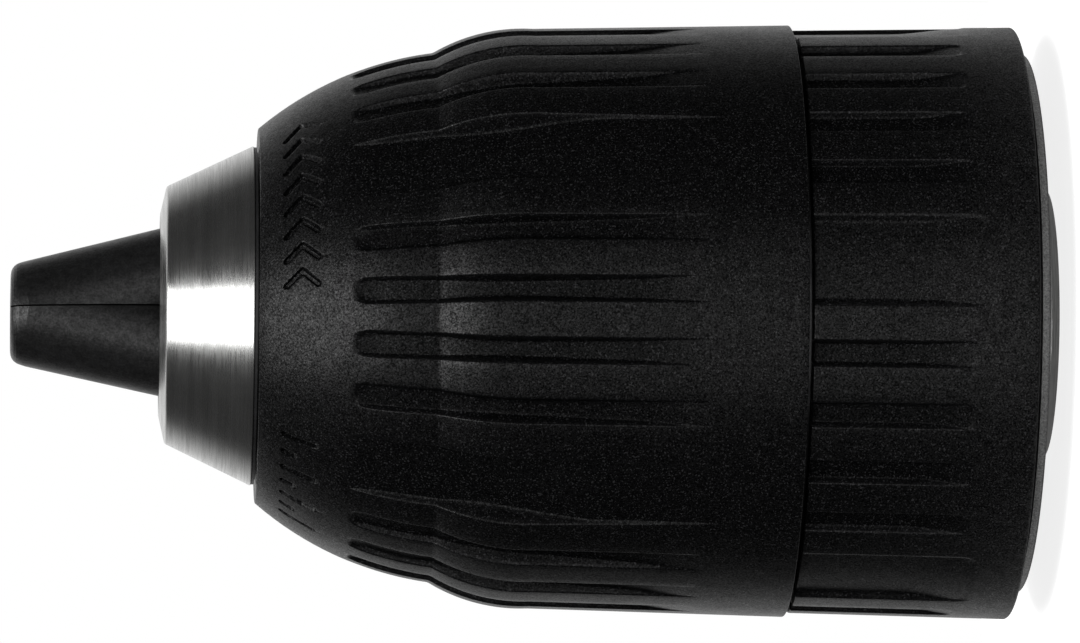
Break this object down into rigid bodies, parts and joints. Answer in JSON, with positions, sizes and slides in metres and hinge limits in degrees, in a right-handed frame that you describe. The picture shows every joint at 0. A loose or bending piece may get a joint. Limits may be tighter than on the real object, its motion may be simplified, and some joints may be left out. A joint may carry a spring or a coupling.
{
  "type": "keyless drill chuck",
  "caption": "Keyless drill chuck: a fixed rear sleeve, a front sleeve that turns a split nut on a ball thrust bearing, and tilted jaws that slide out through a steel nosepiece.",
  "frame": {"origin": "centre of the rear hub's face, on the chuck axis; the chuck stands on this face", "axes": "+Z along the chuck axis from the spindle end to the jaw tips, -Y towards the viewed side"},
  "size_m": [0.0428, 0.0428, 0.0748],
  "materials": {
    "black_plastic": "fine-grained moulded glass-filled nylon",
    "washer_plastic": "smooth",
    "brushed_steel": "turned and brushed round its axis",
    "blackened_steel": "turned, blackened inside, ground at the hub",
    "jaw_steel": "hardened, satin black",
    "blasted_steel": "blasted, rough",
    "nut_steel": "turned",
    "bearing_steel": "polished",
    "cage_brass": "stamped"
  },
  "bodies": {
    "chuck_body": {"body": "blackened_steel", "nosepiece": "brushed_steel", "rear_sleeve": "black_plastic", "rear_cover": "blasted_steel", "bearing_rear_race": "bearing_steel"},
    "ball_cage": {"bearing_cage": "cage_brass", "bearing_balls": "bearing_steel"},
    "clamping_sleeve": {"front_sleeve": "black_plastic", "nut_half_1": "nut_steel", "nut_half_2": "nut_steel", "nut_band": "nut_steel", "bearing_front_race": "bearing_steel", "sleeve_washer": "washer_plastic"},
    "first_jaw": {"jaw_1": "jaw_steel"},
    "second_jaw": {"jaw_2": "jaw_steel"},
    "third_jaw": {"jaw_3": "jaw_steel"}
  },
  "joints": [
    {"name": "sleeve_turn", "type": "hinge", "parent": "chuck_body", "child": "clamping_sleeve", "pos_m": [0, 0, 0.04], "axis": [0, 0, 1], "range_deg": [0, 4460]},
    {"name": "cage_turn", "type": "hinge", "parent": "chuck_body", "child": "ball_cage", "pos_m": [0, 0, 0.035], "axis": [0, 0, 1], "range_deg": [0, 2230]},
    {"name": "jaw_1_slide", "type": "slide", "parent": "chuck_body", "child": "first_jaw", "axis": [0.2448, -0.094, -0.965], "range_m": [0, 0.02478]},
    {"name": "jaw_2_slide", "type": "slide", "parent": "chuck_body", "child": "second_jaw", "axis": [-0.041, 0.259, -0.965], "range_m": [0, 0.02478]},
    {"name": "jaw_3_slide", "type": "slide", "parent": "chuck_body", "child": "third_jaw", "axis": [-0.2038, -0.165, -0.965], "range_m": [0, 0.02478]}
  ],
  "couplings": [
    {"joint": "cage_turn", "follows": "sleeve_turn", "ratio": 0.5},
    {"joint": "jaw_1_slide", "follows": "sleeve_turn", "m_per_rad": 0.00031831},
    {"joint": "jaw_2_slide", "follows": "sleeve_turn", "m_per_rad": 0.00031831},
    {"joint": "jaw_3_slide", "follows": "sleeve_turn", "m_per_rad": 0.00031831}
  ]
}
